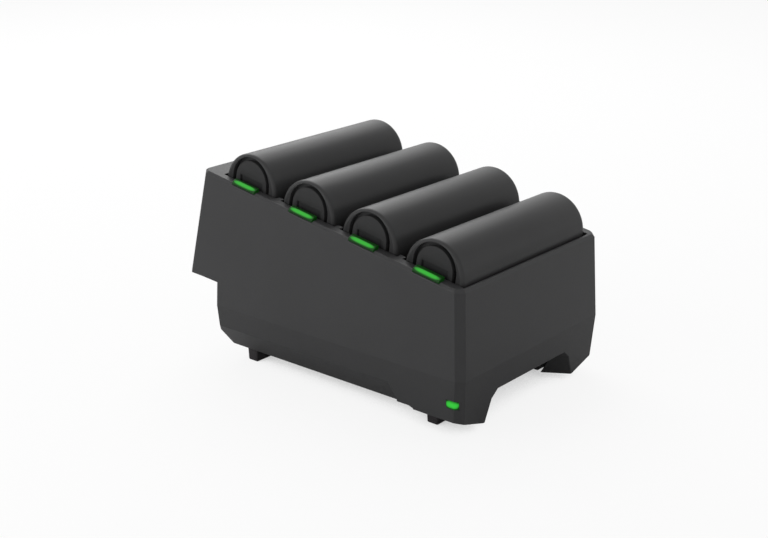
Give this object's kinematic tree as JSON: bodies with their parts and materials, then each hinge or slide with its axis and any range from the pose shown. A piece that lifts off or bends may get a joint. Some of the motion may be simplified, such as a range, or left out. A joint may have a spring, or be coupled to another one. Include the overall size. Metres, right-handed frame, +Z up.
{
  "type": "four-bay battery charger",
  "caption": "Dark desktop charger with a sloping deck that holds cylindrical handheld-computer battery packs, each with a green light bar.",
  "frame": {"origin": "on the floor, under the middle of the outline seen from above", "axes": "+X along the row of bays towards the low end, -Y towards the side with the light bars, +Z up"},
  "size_m": [0.1494, 0.0976, 0.0937],
  "materials": {
    "housing_plastic": "fine matte texture, dark charcoal",
    "base_plastic": "fine matte texture, dark charcoal",
    "foot_rubber": "matte",
    "pack_plastic": "satin, near black",
    "pad_gold": "plated, polished",
    "block_plastic": "matte black",
    "spring_gold": "plated, polished",
    "light_green": "clear moulding lit from inside",
    "power_light_green": "clear moulding lit from inside",
    "board_green": "coated laminate",
    "lamp_white": "glossy",
    "chip_black": "semi-gloss moulding",
    "coil_ferrite": "sintered, matte",
    "ribbon_grey": "smooth",
    "jack_black": "semi-gloss",
    "screw_steel": "zinc plated"
  },
  "bodies": {
    "charger": {"upper_housing": "housing_plastic", "lower_housing": "base_plastic", "foot_1": "foot_rubber", "foot_2": "foot_rubber", "foot_3": "foot_rubber", "foot_4": "foot_rubber", "contact_block_1": "block_plastic", "contact_block_2": "block_plastic", "contact_block_3": "block_plastic", "contact_block_4": "block_plastic", "contact_springs_1": "spring_gold", "contact_springs_2": "spring_gold", "contact_springs_3": "spring_gold", "contact_springs_4": "spring_gold", "light_bar_1": "light_green", "light_bar_2": "light_green", "light_bar_3": "light_green", "light_bar_4": "light_green", "power_light": "power_light_green", "charge_board": "board_green", "power_board": "board_green", "lamps": "lamp_white", "charge_chips": "chip_black", "coils": "coil_ferrite", "ribbon_cable": "ribbon_grey", "power_jack": "jack_black", "housing_screws": "screw_steel", "board_screws": "screw_steel"},
    "battery_1": {"battery_1": "pack_plastic", "battery_1_contacts": "pad_gold"},
    "battery_2": {"battery_2": "pack_plastic", "battery_2_contacts": "pad_gold"},
    "battery_3": {"battery_3": "pack_plastic", "battery_3_contacts": "pad_gold"},
    "battery_4": {"battery_4": "pack_plastic", "battery_4_contacts": "pad_gold"}
  },
  "joints": [
    {"name": "battery_1_lift", "type": "slide", "parent": "charger", "child": "battery_1", "axis": [0.1685, 0, 0.9857], "range_m": [0, 0.03]},
    {"name": "battery_2_lift", "type": "slide", "parent": "charger", "child": "battery_2", "axis": [0.1685, 0, 0.9857], "range_m": [0, 0.03]},
    {"name": "battery_3_lift", "type": "slide", "parent": "charger", "child": "battery_3", "axis": [0.1685, 0, 0.9857], "range_m": [0, 0.03]},
    {"name": "battery_4_lift", "type": "slide", "parent": "charger", "child": "battery_4", "axis": [0.1685, 0, 0.9857], "range_m": [0, 0.03]}
  ]
}
